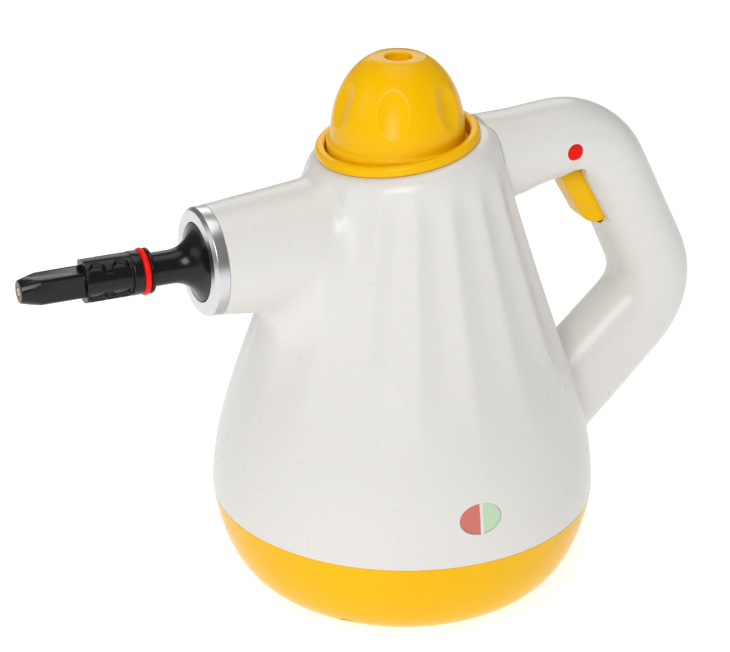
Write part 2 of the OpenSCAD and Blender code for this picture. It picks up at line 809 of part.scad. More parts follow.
module lock_button() {
    color(red) {
        rod_y(bolt_at[0], -15.6, bolt_at[1], 6, lock_r);
        rod_y(bolt_at[0], -10, bolt_at[1], 24, 2.2);
        rod_y(bolt_at[0], 13, bolt_at[1], 5.9, lock_r);
    }
}

module lock_detent() {
    color(steel) translate([55.5, -3, 182]) cube([10, 6, 0.5]);
}

// ---------- lamps ----------

module wall_solid() {
    difference() {
        body_outer();
        body_inner();
    }
}

module lamp_lens(x0, x1) {
    intersection() {
        wall_solid();
        lamp_window(-fit);
        translate([x0, -90, 30]) cube([x1 - x0, 60, 50]);
    }
}

module lamp_lens_red() color([0.82, 0.35, 0.3]) lamp_lens(-20, lamp_split[0]);
module lamp_lens_green() color([0.7, 0.85, 0.7]) lamp_lens(lamp_split[1], 20);

module lamp_carrier() {
    color(white) {
        intersection() {
            wall_solid();
            lamp_window(-fit);
            translate([lamp_split[0] + fit, -90, 30]) cube([lamp_split[1] - lamp_split[0] - 2 * fit, 60, 50]);
        }
        difference() {
            translate([-12, -67.6, 47]) cube([19, 7.6, 18]);
            translate([-10.5, -80, 49.5]) cube([7.3, 30, 13]);
            translate([-0.9, -80, 49.5]) cube([6.4, 30, 13]);
        }
        translate([lamp_split[0] + fit, -72, 50]) cube([1.2, 5, 12]);
    }
}

module lamp_board() color([0.1, 0.4, 0.2]) translate([-12, -59.9, 45]) cube([19, 1.6, 22]);

module lamp_leds() {
    color([0.9, 0.9, 0.85]) for (x = [-6.8, 2.3]) {
        rod_y(x, -63.9, lamp[1], 3.9, 2.4);
        translate([x, -63.9, lamp[1]]) sphere(r = 2.4);
    }
}

// ---------- electrics ----------

module terminal_block() {
    color([0.9, 0.88, 0.8]) difference() {
        translate([47, -8, 6]) cube([9, 16, 8]);
        for (y = [-4, 4]) {
            rod_x(40, y, 10.5, 20, 1.4);
            translate([51.5, y, 10]) cylinder(h = 10, r = 1.6, $fn = 32);
        }
    }
}

module cord_gland() {
    color(black) difference() {
        union() {
            rod_x(63, 0, gland_z, 15, 6.5);
            rod_x(63, 0, gland_z, 2.4, 8.2);
            rod_x(76, 0, gland_z, 3.5, 7.6);
        }
        rod_x(60, 0, gland_z, 30, 3.6);
    }
}

module inner_wiring() {
    color([0.3, 0.3, 0.6]) for (s = [-1, 1]) {
        loft(rings_along(bezier([[56.2, s * 4, 10.5], [60, s * 4, 10.5], [60, s * 1.6, gland_z],
            [62.4, s * 1.6, gland_z]], 8), 0.9, 8));
        loft(rings_along(bezier([[46.8, s * 4, 10.5], [40, s * 4, 10.5], [35, s * 7, 13.5],
            [27.9, s * 7, 13.5]], 8), 0.9, 8));
    }
}

body_shell();
base_bowl();
foot_ring();
base_screws();
handle_left();
handle_right();
handle_screws();
trim_ring();
filler_well();
cap_dome();
cap_retainer();
cap_plug();
cap_spring();
cap_gasket();
plug_oring();
relief_seat();
relief_poppet();
relief_spring();
filler_neck();
boiler_upper();
boiler_lower();
boiler_gasket();
boiler_bolts();
boiler_standoffs();
standoff_screws();
insulation_jacket();
heating_element();
heater_clamp();
heater_clamp_screws();
thermostat();
thermal_fuse();
valve_body();
valve_gland();
valve_plunger();
valve_spring();
link_rod();
link_nut();
inlet_pipe();
steam_pipe();
pipe_nuts();
nozzle_funnel();
chrome_ring();
bayonet_connector();
nozzle_oring();
nozzle_tip();
orifice_insert();
steam_tube();
trigger();
trigger_pin();
trigger_spring();
lock_button();
lock_detent();
lamp_carrier();
lamp_lens_red();
lamp_lens_green();
lamp_board();
lamp_leds();
terminal_block();
cord_gland();
inner_wiring();
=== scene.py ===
"""Looks of the hand-held steam cleaner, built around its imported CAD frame. Metres, +Z up."""
import math

import bmesh
import bpy
import numpy as np
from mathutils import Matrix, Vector


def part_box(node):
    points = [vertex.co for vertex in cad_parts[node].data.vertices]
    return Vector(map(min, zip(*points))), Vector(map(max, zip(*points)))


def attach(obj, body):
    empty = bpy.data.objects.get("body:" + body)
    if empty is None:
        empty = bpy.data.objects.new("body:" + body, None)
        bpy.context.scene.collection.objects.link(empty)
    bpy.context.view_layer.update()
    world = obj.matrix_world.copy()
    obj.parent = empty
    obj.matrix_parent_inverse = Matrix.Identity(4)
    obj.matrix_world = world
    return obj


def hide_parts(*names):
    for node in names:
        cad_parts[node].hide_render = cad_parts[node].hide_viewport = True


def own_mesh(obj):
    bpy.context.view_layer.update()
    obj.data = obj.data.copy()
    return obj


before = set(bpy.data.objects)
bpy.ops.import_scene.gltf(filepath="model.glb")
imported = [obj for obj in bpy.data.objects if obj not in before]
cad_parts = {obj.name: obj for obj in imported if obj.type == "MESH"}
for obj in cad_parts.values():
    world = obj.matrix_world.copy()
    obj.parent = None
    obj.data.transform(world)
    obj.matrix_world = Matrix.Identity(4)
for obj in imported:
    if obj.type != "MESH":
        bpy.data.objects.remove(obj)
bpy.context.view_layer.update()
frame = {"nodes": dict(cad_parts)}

MM = 0.001
nodes = frame["nodes"]


# ---------- sizes taken from the frame, in millimetres ----------

def box_mm(node):
    """Lowest and highest corner of a CAD node, in millimetres."""
    low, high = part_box(node)
    return np.array(low) / MM, np.array(high) / MM


bowl_low, bowl_high = box_mm("base_bowl")
ring_low, ring_high = box_mm("chrome_ring")
dome_low, dome_high = box_mm("cap_dome")
tip_low, tip_high = box_mm("nozzle_tip")
oring_low, oring_high = box_mm("nozzle_oring")
button_low, button_high = box_mm("lock_button")

BODY_R = bowl_high[0]                       # largest radius, at the seam
SEAM_Z = bowl_high[2]
FLOOR_GAP = bowl_low[2]                     # the bowl's underside stands this far above the floor
SPOUT_Z = (ring_low[2] + ring_high[2]) / 2
SPOUT_FRONT = ring_high[0]                  # where the spout ends and the chrome ring begins
CAP_X = (dome_low[0] + dome_high[0]) / 2
CAP_TOP = dome_high[2]
BUTTON = ((button_low[0] + button_high[0]) / 2, (button_low[2] + button_high[2]) / 2)
WALL = 2.3                                  # wall of the visible shells
RING_Z = 180.95                             # centre of the trim ring
RING_TILT = math.radians(8)
RING_H = 3.6
RING_OUT = 31.1
RING_IN = 27.4


# ---------- curves ----------

def bezier(points, n):
    """n + 1 points of a cubic Bezier curve."""
    t = np.linspace(0, 1, n + 1)[:, None]
    p = np.array(points, float)
    return (1 - t) ** 3 * p[0] + 3 * (1 - t) ** 2 * t * p[1] + 3 * (1 - t) * t * t * p[2] + t ** 3 * p[3]


def smooth_step(low, high, v):
    """0 below low, 1 above high, and a smooth rise between."""
    t = np.clip((v - low) / (high - low), 0, 1)
    return t * t * (3 - 2 * t)


def fillet(points, radii, steps=5):
    """A closed outline of [a, b] points with rounded corners. radii is one number or one for each point."""
    pts = [np.array(p, float) for p in points]
    n = len(pts)
    if not hasattr(radii, "__len__"):
        radii = [radii] * n
    out = []
    for i, p in enumerate(pts):
        a, b = pts[i - 1] - p, pts[(i + 1) % n] - p
        la, lb = np.linalg.norm(a), np.linalg.norm(b)
        a, b = a / la, b / lb
        half = math.acos(max(-1, min(1, float(a @ b)))) / 2
        r = radii[i]
        if r <= 0 or half > 1.5:
            out.append(p)
            continue
        back = min(r / math.tan(half), 0.48 * la, 0.48 * lb)
        r = back * math.tan(half)
        middle = (a + b) / np.linalg.norm(a + b) * (r / math.sin(half))
        centre = p + middle
        start = p + a * back - centre
        turn = math.pi - 2 * half
        sign = 1 if a[0] * b[1] - a[1] * b[0] < 0 else -1
        for k in range(steps + 1):
            w = sign * turn * k / steps
            c, s = math.cos(w), math.sin(w)
            out.append(centre + np.array([c * start[0] - s * start[1], s * start[0] + c * start[1]]))
    return np.array(out)


# ---------- meshes ----------

def new_object(name, points_mm, faces, smooth_angle=None):
    """A mesh object from points in millimetres."""
    mesh = bpy.data.meshes.new(name)
    mesh.from_pydata((np.asarray(points_mm, float) * MM).tolist(), [], [tuple(map(int, f)) for f in faces])
    mesh.validate()
    obj = bpy.data.objects.new(name, mesh)
    bpy.context.scene.collection.objects.link(obj)
    outward(obj)
    shade(obj, smooth_angle)
    return obj


def outward(obj):
    """Faces of a closed mesh all look outward."""
    bm = bmesh.new()
    bm.from_mesh(obj.data)
    bmesh.ops.recalc_face_normals(bm, faces=bm.faces)
    bm.to_mesh(obj.data)
    bm.free()


def shade(obj, angle=None):
    """Smooth shading, with edges sharper than angle (degrees) kept crisp."""
    obj.data.polygons.foreach_set("use_smooth", [True] * len(obj.data.polygons))
    if angle is not None:
        obj.data.set_sharp_from_angle(angle=math.radians(angle))


def apply_modifiers(obj):
    """The mesh that the modifiers give becomes the object's own mesh."""
    graph = bpy.context.evaluated_depsgraph_get()
    mesh = bpy.data.meshes.new_from_object(obj.evaluated_get(graph))
    obj.modifiers.clear()
    old = obj.data
    obj.data = mesh
    bpy.data.meshes.remove(old)


def cut(obj, cutter, keep_cutter=False, mode="DIFFERENCE"):
    """Boolean of obj with cutter, applied."""
    m = obj.modifiers.new("cut", "BOOLEAN")
    m.operation = mode
    m.solver = "EXACT"
    m.object = cutter
    apply_modifiers(obj)
    if not keep_cutter:
        bpy.data.objects.remove(cutter)


def bevel(obj, width, segments=3, angle=30):
    m = obj.modifiers.new("bevel", "BEVEL")
    m.width = width * MM
    m.segments = segments
    m.limit_method = "ANGLE"
    m.angle_limit = math.radians(angle)
    m.harden_normals = False
    apply_modifiers(obj)


def weighted(obj, angle=40):
    """Shading that keeps large flat faces flat beside small rounded edges."""
    shade(obj, angle)
    m = obj.modifiers.new("normals", "WEIGHTED_NORMAL")
    m.keep_sharp = True
    m.weight = 60


def lathe(name, outline, centre=(0, 0, 0), axis=(0, 0, 1), segments=160, smooth_angle=35):
    """Solid turned about an axis through centre. outline is a closed loop of [radius, height], and its points
    on the axis join in a pole."""
    outline = np.asarray(outline, float)
    axis = Vector(axis).normalized()
    turn = Vector((0, 0, 1)).rotation_difference(axis).to_matrix()
    points, rows = [], []
    for r, h in outline:
        if r < 1e-6:
            rows.append([len(points)] * segments)
            points.append((0, 0, h))
            continue
        rows.append(list(range(len(points), len(points) + segments)))
        for k in range(segments):
            a = 2 * math.pi * k / segments
            points.append((r * math.cos(a), r * math.sin(a), h))
    faces = []
    for i in range(len(rows)):
        a, b = rows[i], rows[(i + 1) % len(rows)]
        if a[0] == a[1] and b[0] == b[1]:
            continue
        for k in range(segments):
            q = (k + 1) % segments
            loop = [a[k], a[q], b[q], b[k]]
            face = [v for j, v in enumerate(loop) if v != loop[j - 1]]
            faces.append(face)
    points = np.array([turn @ Vector(p) for p in points]) + np.array(centre)
    return new_object(name, points, faces, smooth_angle)


def prism(name, outline, low, high, plane="XZ"):
    """Outline extruded between two values of the third axis."""
    outline = np.asarray(outline, float)
    n = len(outline)
    points = []
    for v in (low, high):
        for a, b in outline:
            points.append((a, v, b) if plane == "XZ" else (v, a, b) if plane == "YZ" else (a, b, v))
    faces = [list(range(n)), list(range(2 * n - 1, n - 1, -1))]
    faces += [[k, (k + 1) % n, n + (k + 1) % n, n + k] for k in range(n)]
    return new_object(name, points, faces, 30)


def cuboid(name, low, high):
    (x0, y0, z0), (x1, y1, z1) = low, high
    return prism(name, [(x0, z0), (x1, z0), (x1, z1), (x0, z1)], y0, y1)


def surface_net(name, f, low, high, step):
    """Closed surface f = 0 as quads, f negative inside. f takes arrays of x, y and z in millimetres."""
    axes = [np.arange(a, b + step, step) for a, b in zip(low, high)]
    x, y, z = np.meshgrid(*axes, indexing="ij")
    v = f(x, y, z)
    inside = v < 0
    nx, ny, nz = (s - 1 for s in v.shape)
    total = np.zeros((nx, ny, nz, 3))
    count = np.zeros((nx, ny, nz))
    corners = [(i, j, k) for i in (0, 1) for j in (0, 1) for k in (0, 1)]
    for c in corners:
        for axis in range(3):
            if c[axis]:
                continue
            d = list(c)
            d[axis] = 1
            va = v[c[0]:c[0] + nx, c[1]:c[1] + ny, c[2]:c[2] + nz]
            vb = v[d[0]:d[0] + nx, d[1]:d[1] + ny, d[2]:d[2] + nz]
            crosses = (va < 0) != (vb < 0)
            t = np.where(crosses, va / np.where(crosses, va - vb, 1), 0)
            for a in range(3):
                total[..., a] += np.where(crosses, c[a] + (t if a == axis else 0), 0)
            count += crosses
    active = count > 0
    number = np.full(active.shape, -1)
    number[active] = np.arange(active.sum())
    cells = np.argwhere(active)
    points = np.array(low) + step * (cells + total[active] / count[active][:, None])
    quads = []
    for axis in range(3):
        a, b = [i for i in range(3) if i != axis]
        first = [slice(1, -1)] * 3
        first[axis] = slice(0, -1)
        second = list(first)
        second[axis] = slice(1, None)
        s0, s1 = inside[tuple(first)], inside[tuple(second)]
        where = np.argwhere(s0 != s1)
        cell = where.copy()
        cell[:, a] += 1
        cell[:, b] += 1
        ring = []
        for da, db in ((-1, -1), (0, -1), (0, 0), (-1, 0)):
            c = cell.copy()
            c[:, a] += da
            c[:, b] += db
            ring.append(number[c[:, 0], c[:, 1], c[:, 2]])
        quads.append(np.stack(ring, 1))
    return new_object(name, project(points, f, 4), np.concatenate(quads))


def value_and_slope(f, p, d=0.02):
    """f and its gradient at points."""
    x, y, z = p.T
    slope = np.stack([
        f(x + d, y, z) - f(x - d, y, z),
        f(x, y + d, z) - f(x, y - d, z),
        f(x, y, z + d) - f(x, y, z - d),
    ], 1) / (2 * d)
    return f(x, y, z), slope


def project(points, f, turns=6):
    """Moves points onto the surface f = 0."""
    points = points.copy()
    for _ in range(turns):
        value, slope = value_and_slope(f, points)
        points -= value[:, None] * slope / np.maximum((slope ** 2).sum(1), 0.05)[:, None]
    return points


def smooth_min(a, b, k):
    """The lesser of two distances, with a rounding about k wide where they meet."""
    h = np.clip(0.5 + 0.5 * (b - a) / k, 0, 1)
    return b * (1 - h) + a * h - k * h * (1 - h)


# ---------- the body's surface ----------

BODY_CURVE = bezier([(BODY_R, SEAM_Z), (BODY_R, SEAM_Z + 33.4), (58.65, 98.8), (35.3, 178)], 200)
NECK_SLOPE = (BODY_CURVE[-1] - BODY_CURVE[-2])[0] / (BODY_CURVE[-1] - BODY_CURVE[-2])[1]
FLUTES = 18
FLUTE_DEPTH = 1.9
RIDGE_ROUND = 0.13                          # how blunt a ridge is, as a part of half a flute
FLUTE_FOOT = (74, 116)                      # heights between which the flutes grow
FLUTE_HEAD = (160, 176)                     # heights between which they fade out
SHOULDER_ROUND = 6.0                        # rounding between the body and the plane of the cap's ring
SPOUT_R = 20.6                              # radius at the spout's front
SPOUT_TAPER = 0.103                         # what the radius gains for each millimetre towards the body
SPOUT_COSINE = 0.995                        # turns a gap along the radius into a gap square to the cone
SPOUT_BACK = -8
SPOUT_BLEND = (4, 17)                       # rounding above the spout and below it
BLEND_HEIGHTS = (118, 158)                  # heights between which the rounding changes


def body_radius(z):
    """Radius of the plain body at a height; straight on below the seam and above the top."""
    r = np.interp(z, BODY_CURVE[:, 1], BODY_CURVE[:, 0])
    top = BODY_CURVE[-1, 1]
    return np.where(z > top, r + NECK_SLOPE * (z - top), r)


def flute_depth(angle, z):
    """Depth of the shallow upright hollows between the ridges."""
    pitch = 2 * math.pi / FLUTES
    u = np.mod(angle / pitch - 0.5, 1) - 0.5
    from_ridge = np.sqrt((1 - np.abs(2 * u)) ** 2 + RIDGE_ROUND ** 2) - RIDGE_ROUND
    shape = 1 - (1 - np.clip(from_ridge, 0, 1)) ** 2
    fade = smooth_step(*FLUTE_FOOT, z) * (1 - smooth_step(*FLUTE_HEAD, z))
    return FLUTE_DEPTH * shape * fade


def body_value(x, y, z):
    """Signed distance, roughly, to the body with its spout."""
    angle = np.arctan2(y, x)
    rho = np.hypot(x, y)
    slope = (body_radius(z + 1) - body_radius(z - 1)) / 2
    body = (rho - body_radius(z) + flute_depth(angle, z)) / np.sqrt(1 + slope ** 2)
    plane = -math.sin(RING_TILT) * (x - CAP_X) + math.cos(RING_TILT) * (z - RING_Z) + RING_H / 2
    body = -smooth_min(-body, -plane, SHOULDER_ROUND)
    spout = (np.hypot(y, z - SPOUT_Z) - (SPOUT_R + SPOUT_TAPER * (x - SPOUT_FRONT))) * SPOUT_COSINE
    spout = np.maximum(spout, x - SPOUT_BACK)
    above, below = SPOUT_BLEND
    return smooth_min(body, spout, above + (below - above) * (1 - smooth_step(*BLEND_HEIGHTS, z)))


# ---------- materials ----------

CLOUD = 28.0                                # scales of the noise in colour and in gloss, per metre
BLOTCH = 260.0
RELIEF = 0.05 * MM                          # height of the surface grain at a bump of 1
WORN_AND_HIGHLIT_EDGE = (0.56, 0.72)                    # pointiness where the paler edge begins and where it is full: wear, and on the yellow a painted highlight along rims


def node_of(tree, kind, **values):
    node = tree.nodes.new(kind)
    for key, value in values.items():
        if key in node.inputs.keys():
            node.inputs[key].default_value = value
        else:
            setattr(node, key, value)
    return node


def noise(tree, place, scale, detail=3.0):
    node = node_of(tree, "ShaderNodeTexNoise", Scale=scale, Detail=detail)
    tree.links.new(place, node.inputs["Vector"])
    return node.outputs["Fac"]


def between(tree, value, low, high, from_low=0.3, from_high=0.7):
    """A value stretched to run from low to high."""
    node = node_of(tree, "ShaderNodeMapRange")
    ends = {"From Min": from_low, "From Max": from_high, "To Min": low, "To Max": high}
    for key, number in ends.items():
        node.inputs[key].default_value = number
    tree.links.new(value, node.inputs["Value"])
    return node.outputs["Result"]


def mix(tree, factor, a, b):
    node = node_of(tree, "ShaderNodeMix", data_type="RGBA")
    for value, key in ((factor, 0), (a, 6), (b, 7)):
        if isinstance(value, (tuple, float, int)):
            node.inputs[key].default_value = value
        else:
            tree.links.new(value, node.inputs[key])
    return node.outputs[2]


def tinted(color, gain):
    return tuple(min(1.0, c * gain) for c in color) + (1,)


def finish(name, color, roughness, spread=0.04, tone=0.05, grain=1400.0, bump=0.03, worn_and_highlit_edge=None, edge_wear_and_highlight=0.15,
           **sockets):
    """A material with mottled colour, uneven gloss, fine grain and edges made paler or darker by pointiness,
    which stand for wear and, on the yellow plastic, for a painted highlight along the rims.
    """
    mat = bpy.data.materials.new(name)
    mat.use_nodes = True
    tree = mat.node_tree
    shader = tree.nodes["Principled BSDF"]
    place = tree.nodes.new("ShaderNodeTexCoord").outputs["Object"]
    cloud = noise(tree, place, CLOUD)
    blotch = noise(tree, place, BLOTCH, 5.0)
    speck = noise(tree, place, grain, 2.0)
    base = mix(tree, between(tree, cloud, 0.0, 1.0), tinted(color, 1 - tone), tinted(color, 1 + tone / 2))
    # Pointiness tints the edges: partly wear, partly a painted highlight along crisp rims such as the cap's
    # dimples.
    edge = tree.nodes.new("ShaderNodeNewGeometry").outputs["Pointiness"]
    edge = between(tree, edge, 0.0, edge_wear_and_highlight, *WORN_AND_HIGHLIT_EDGE)
    base = mix(tree, edge, base, tinted(worn_and_highlit_edge or color, 1.0))
    tree.links.new(base, shader.inputs["Base Color"])
    gloss = between(tree, blotch, roughness - spread / 2, roughness + spread / 2)
    tree.links.new(gloss, shader.inputs["Roughness"])
    relief = node_of(tree, "ShaderNodeBump", Strength=bump, Distance=RELIEF)
    tree.links.new(speck, relief.inputs["Height"])
    tree.links.new(relief.outputs["Normal"], shader.inputs["Normal"])
    for key, value in sockets.items():
        shader.inputs[key.replace("_", " ")].default_value = value
    return mat


def brushed(name, color, roughness, stretch, **sockets):
    """Turned metal: fine lines round the axis named by stretch (x, y, z scales)."""
    mat = finish(name, color, roughness, worn_and_highlit_edge=color, Metallic=1.0, **sockets)
    tree = mat.node_tree
    place = next(n for n in tree.nodes if n.type == "TEX_COORD").outputs["Object"]
    mapping = node_of(tree, "ShaderNodeMapping", Scale=stretch)
    tree.links.new(place, mapping.inputs["Vector"])
    lines = noise(tree, mapping.outputs["Vector"], 1.0, 4.0)
    relief = next(n for n in tree.nodes if n.type == "BUMP")
    tree.links.new(lines, relief.inputs["Height"])
    return mat


MATERIALS = {
    "white_plastic": finish("white_plastic", (0.75, 0.732, 0.70), 0.28, spread=0.015, tone=0.008, bump=0.0,
                            worn_and_highlit_edge=(0.757, 0.739, 0.707), edge_wear_and_highlight=0.05, Specular_IOR_Level=0.35),
    # The yellow's paler edge colour is a painted highlight along the dimple rims and other crisp edges.
    "yellow_plastic": finish("yellow_plastic", (0.91, 0.50, 0.0), 0.24, tone=0.03, bump=0.15, edge_wear_and_highlight=0.6,
                             worn_and_highlit_edge=(1.0, 0.68, 0.10), Specular_IOR_Level=0.14),
    "black_plastic": finish("black_plastic", (0.008, 0.008, 0.0085), 0.22, tone=0.2, bump=0.3, edge_wear_and_highlight=0.6,
                            worn_and_highlit_edge=(0.03, 0.03, 0.033), Specular_IOR_Level=0.3),
    "red_button": finish("red_button", (0.86, 0.004, 0.0), 0.34, tone=0.05, worn_and_highlit_edge=(0.95, 0.12, 0.08),
                         Specular_IOR_Level=0.12),
    "red_lens": finish("red_lens", (0.63, 0.155, 0.115), 0.16, tone=0.06, worn_and_highlit_edge=(0.7, 0.3, 0.25)),
    "green_lens": finish("green_lens", (0.50, 0.68, 0.46), 0.16, tone=0.05, worn_and_highlit_edge=(0.6, 0.75, 0.6)),
    "red_rubber": finish("red_rubber", (0.93, 0.006, 0.002), 0.42, tone=0.08, grain=2500.0, bump=0.08,
                         worn_and_highlit_edge=(0.95, 0.06, 0.04), Specular_IOR_Level=0.2),
    "black_rubber": finish("black_rubber", (0.018, 0.018, 0.018), 0.62, tone=0.25, grain=3000.0,
                           bump=0.25, worn_and_highlit_edge=(0.06, 0.06, 0.06)),
    "chrome": brushed("chrome", (0.66, 0.665, 0.67), 0.30, (2500, 60, 60)),
    "steel": brushed("steel", (0.56, 0.57, 0.58), 0.30, (400, 400, 400)),
    "brass": brushed("brass", (0.72, 0.45, 0.20), 0.28, (2500, 200, 200)),
    "alloy": brushed("alloy", (0.62, 0.63, 0.65), 0.45, (300, 300, 1500)),
    "ceramic": finish("ceramic", (0.74, 0.72, 0.66), 0.55, tone=0.06, bump=0.15),
    "felt": finish("felt", (0.52, 0.50, 0.46), 0.95, tone=0.25, grain=700.0, bump=0.9, Sheen_Weight=0.4),
    "board": finish("board", (0.04, 0.22, 0.08), 0.45, tone=0.15, bump=0.1),
    "lead": finish("lead", (0.30, 0.05, 0.04), 0.5, tone=0.3, bump=0.1),
}


def dress(piece, body, slot, *nodes):
    """A finished piece: its material, its body and the CAD nodes it stands for."""
    piece.data.materials.clear()
    piece.data.materials.append(MATERIALS[slot])
    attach(piece, body)
    if nodes:
        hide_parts(*nodes)
    return piece


def duplicate(obj, name):
    copy = obj.copy()
    copy.data = obj.data.copy()
    copy.name = name
    bpy.context.scene.collection.objects.link(copy)
    return copy


def halve(obj, place, normal):
    """Keeps the side of an open or closed mesh that the normal points away from, with an open edge."""
    bm = bmesh.new()
    bm.from_mesh(obj.data)
    geometry = bm.verts[:] + bm.edges[:] + bm.faces[:]
    bmesh.ops.bisect_plane(bm, geom=geometry, dist=1e-7, plane_co=Vector(place) * MM, plane_no=normal,
                           clear_outer=True)
    bm.to_mesh(obj.data)
    bm.free()


def grown(obj, distance):
    """Moves every point along its normal."""
    bm = bmesh.new()
    bm.from_mesh(obj.data)
    bm.normal_update()
    for v in bm.verts:
        v.co += v.normal * distance * MM
    bm.to_mesh(obj.data)
    bm.free()


def rod(name, radius, start, end, segments=64):
    """Plain round bar between two points, used as a cutter."""
    start, end = Vector(start), Vector(end)
    length = (end - start).length
    return lathe(name, [(0, 0), (radius, 0), (radius, length), (0, length)], start, end - start, segments)


def cross_rod(name, radius, place, low, high, segments=64):
    """Round bar along y through place (x and z)."""
    return rod(name, radius, (place[0], low, place[1]), (place[0], high, place[1]), segments)


def cap_rod(name, radius, segments):
    """Upright round bar on the cap's axis, through the top of the body."""
    return rod(name, radius, (CAP_X, 0, 150), (CAP_X, 0, 210), segments)


# ---------- body shell ----------

LAMP = (-2.4, 56.0)                         # centre of the lamp window, x and z
LAMP_SIZE = (17.0, 12.0)
MOUTH_R = 29.3
LINK_Z = 161.0                              # height of the valve's link rod
LINK_HOLE_R = 6.6
SEAM_GAP = 0.12                             # between the white body and the bowl
NET_STEP = 1.4                              # mesh size of the body's surface


def oval(grow, n=72):
    """The lamp window's outline, grown by a distance."""
    t = np.arange(n) * 2 * math.pi / n
    return np.stack([LAMP[0] + (LAMP_SIZE[0] / 2 + grow) * np.cos(t),
                     LAMP[1] + (LAMP_SIZE[1] / 2 + grow) * np.sin(t)], 1)


whole_body = surface_net("whole_body", body_value, (-83, -77, 30), (77, 77, 190), NET_STEP)


def build_body():
    body = duplicate(whole_body, "body_skin")
    halve(body, (0, 0, SEAM_Z + SEAM_GAP), (0, 0, -1))
    halve(body, (SPOUT_FRONT - 0.1, 0, 0), (-1, 0, 0))
    m = body.modifiers.new("wall", "SOLIDIFY")
    m.thickness = WALL * MM
    m.offset = -1
    apply_modifiers(body)
    cut(body, cap_rod("mouth", MOUTH_R, 192))
    cut(body, prism("window", oval(0), -90, -50))
    cut(body, rod("valve_hole", LINK_HOLE_R, (30, 0, LINK_Z), (50, 0, LINK_Z)))
    shade(body, 40)
    return dress(body, "housing", "white_plastic", "body_shell")


# ---------- handle ----------

HANDLE_HALF = -box_mm("handle_left")[0][1]
ELBOW_R = 24.0
TOP_CORNER = np.array([80.25, 172.0])       # where the middle lines of the bar, the grip and the arm meet
REAR_CORNER = np.array([113.6, 103.8])
ARM_MIDDLE = np.array([81.0, 72.6])
ARM_END = np.array([61.0, 53.9])
# The bar's stations beside the body: x, z, direction, half height
ROOT = [(30, 167.2, 0, 17.7), (46, 168.75, 0, 16.45), (52, 170.15, 0, 15.55), (60, 171.5, 0, 14.9)]
TOP_HALF = (14.75, 14.5)                    # half heights before and after each elbow, and along the arm
REAR_HALF = (15.2, 17.4)
ARM_HALF = (18.0, 18.6)
SECTION_POWER = 0.88                        # under 1, so that the section is a little square


def heading(a, b):
    """Direction from a to b."""
    return math.atan2(b[1] - a[1], b[0] - a[0])


def elbow(corner, a0, a1, h0, h1, steps):
    """Stations round a bend: x, z, direction, half height."""
    turn = a1 - a0
    reach = ELBOW_R * math.tan(abs(turn) / 2)
    start = corner - reach * np.array([math.cos(a0), math.sin(a0)])
    centre = start + ELBOW_R * np.array([math.sin(a0), -math.cos(a0)])
    out = []
    for i in range(steps + 1):
        a = a0 + turn * i / steps
        out.append((centre[0] - ELBOW_R * math.sin(a), centre[1] + ELBOW_R * math.cos(a), a,
                    h0 + (h1 - h0) * i / steps))
    return out


def handle_stations():
    """The handle's stations, evenly spaced and smoothed."""
    grip = heading(TOP_CORNER, REAR_CORNER)
    arm = heading(REAR_CORNER, ARM_MIDDLE)
    marks = ROOT + elbow(TOP_CORNER, 0, grip, *TOP_HALF, 24) + elbow(REAR_CORNER, grip, arm, *REAR_HALF, 26)
    marks += [(*ARM_MIDDLE, arm, ARM_HALF[0]), (*ARM_END, arm, ARM_HALF[1])]
    marks = np.array(marks)
    along = np.concatenate([[0], np.cumsum(np.hypot(*np.diff(marks[:, :2], axis=0).T))])
    even = np.linspace(0, along[-1], 150)
    dense = np.stack([np.interp(even, along, marks[:, k]) for k in range(4)], 1)
    weights = np.array([1, 4, 6, 4, 1]) / 16
    for _ in range(5):
        padded = np.concatenate([2 * dense[:1] - dense[2:0:-1], dense, 2 * dense[-1:] - dense[-2:-4:-1]])
        dense = sum(w * padded[k:k + len(dense)] for k, w in enumerate(weights))
    return dense


def handle_loft(name, inset, sides=72):
    """The closed handle, or the same form set in by a distance."""
    t = np.arange(sides) * 2 * math.pi / sides
    c, v = np.cos(t), np.sin(t)
    points = []
    for x, z, a, h in handle_stations():
        y = (HANDLE_HALF - inset) * np.sign(c) * np.abs(c) ** SECTION_POWER
        q = (h - inset) * np.sign(v) * np.abs(v) ** SECTION_POWER
        points.append(np.stack([x - q * math.sin(a), y, z + q * math.cos(a)], 1))
    rows = len(points)
    faces = [list(range(sides)), list(range((rows - 1) * sides, rows * sides))]
    for i in range(rows - 1):
        for k in range(sides):
            n = (k + 1) % sides
            faces.append([i * sides + k, i * sides + n, (i + 1) * sides + n, (i + 1) * sides + k])
    return new_object(name, np.concatenate(points), faces)


# Room for the trigger, in x and z
SLOT = [(60.2, 162), (62.9, 157), (73.6, 138.6), (78.6, 134.7), (88, 134.7), (94.5, 138.5), (86, 158),
        (76, 166)]
# Opening through both of the handle's sides, so that the trigger's blade shows
WINDOW = [(59.5, 154), (62.2, 158.8), (63.6, 160.6), (65.4, 161.9), (69.4, 162.2), (70.6, 161.4),
          (83.9, 137.7), (83.7, 136.4), (81, 134), (70, 134)]
TRIGGER_HALF = box_mm("trigger")[1][1]
TRIGGER_GAP = 0.35
BUTTON_R = 3.15
BUTTON_GAP = 0.2
SCREWS = [(96, 157), (112, 112), (92, 83), (53, 176)]
BOSS_R = 3.8
COUNTERBORE_R = 2.9
SCREW_R = 1.4
CAP_GAP = 0.4                               # between the handle and the trim ring
BODY_GAP = 0.12                             # between the handle and the body
SPLIT_Y = 0.03                              # where the two halves meet


